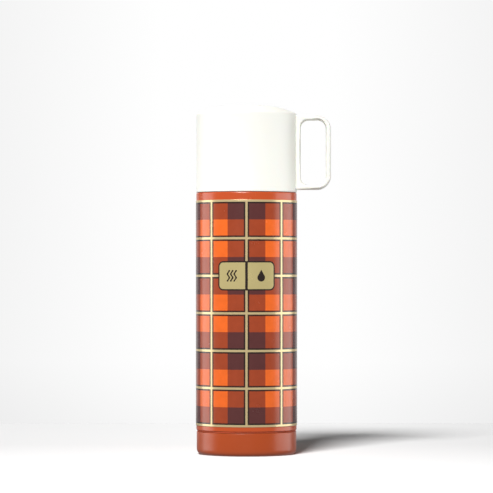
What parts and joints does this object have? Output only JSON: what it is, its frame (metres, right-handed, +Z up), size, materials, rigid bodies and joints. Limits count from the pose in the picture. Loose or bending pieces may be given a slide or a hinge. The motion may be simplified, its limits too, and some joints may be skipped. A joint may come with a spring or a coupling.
{
  "type": "vacuum flask",
  "caption": "Retro plaid vacuum flask with a glass filler, screw stopper, screw-on drinking cup with a ring handle, and a screw-on base.",
  "frame": {"origin": "on the flask's axis, at the flat underside of the base that it stands on", "axes": "+Z up the flask's axis towards the cup, +X towards the cup's handle, -Y the side with the badge"},
  "size_m": [0.1, 0.075, 0.2571],
  "materials": {
    "orange_plastic": "satin moulded, burnt orange",
    "ivory_plastic": "satin moulded, ivory white",
    "printed_steel": "printed plaid in orange, brown and gold under satin varnish",
    "silvered_glass": "blown glass, silvered on its vacuum side",
    "black_rubber": "matt moulded rubber",
    "red_rubber": "matt moulded rubber",
    "grey_rubber": "matt moulded rubber",
    "black_plastic": "matt moulded",
    "white_foam": "moulded foam",
    "corrugated_board": "corrugated brown board",
    "ceramic_fibre": "pressed fibre pad",
    "red_plastic": "satin moulded, brick red"
  },
  "bodies": {
    "base": {"base_cup": "orange_plastic", "base_seal_ring": "red_rubber", "base_cushion": "grey_rubber"},
    "filler": {"glass_outer_vessel": "silvered_glass", "glass_inner_vessel": "silvered_glass", "glass_spacer_pad_1": "ceramic_fibre", "glass_spacer_pad_2": "ceramic_fibre", "glass_spacer_pad_3": "ceramic_fibre", "glass_tip_cap": "black_rubber", "neck_seal": "grey_rubber", "shoulder_pad": "white_foam"},
    "case": {"case_tube": "printed_steel", "case_base_ring": "black_plastic", "collar": "ivory_plastic", "collar_seal": "black_rubber", "insulating_sleeve": "corrugated_board"},
    "stopper_core": {"stopper_foam_core": "white_foam", "stopper_seal": "black_rubber"},
    "stopper": {"stopper_body": "red_plastic", "stopper_grip": "red_plastic"},
    "cup_lining": {"cup_liner": "ivory_plastic"},
    "cup": {"cup_shell": "ivory_plastic", "cup_handle": "ivory_plastic"}
  },
  "joints": [
    {"name": "case_rise", "type": "slide", "parent": "base", "child": "filler", "axis": [0, 0, 1], "range_m": [0, 0.0121]},
    {"name": "case_turn", "type": "hinge", "parent": "filler", "child": "case", "pos_m": [0, 0, 0.02], "axis": [0, 0, 1], "range_deg": [0, 1080]},
    {"name": "stopper_rise", "type": "slide", "parent": "case", "child": "stopper_core", "axis": [0, 0, 1], "range_m": [0, 0.0121]},
    {"name": "stopper_turn", "type": "hinge", "parent": "stopper_core", "child": "stopper", "pos_m": [0, 0, 0.206], "axis": [0, 0, 1], "range_deg": [0, 1080]},
    {"name": "cup_rise", "type": "slide", "parent": "case", "child": "cup_lining", "axis": [0, 0, 1], "range_m": [0, 0.0301]},
    {"name": "cup_turn", "type": "hinge", "parent": "cup_lining", "child": "cup", "pos_m": [0, 0, 0.2], "axis": [0, 0, 1], "range_deg": [0, 1800]}
  ],
  "couplings": [
    {"joint": "case_rise", "follows": "case_turn", "m_per_rad": 0.00063662},
    {"joint": "stopper_rise", "follows": "stopper_turn", "m_per_rad": 0.00063662},
    {"joint": "cup_rise", "follows": "cup_turn", "m_per_rad": 0.00095493}
  ]
}
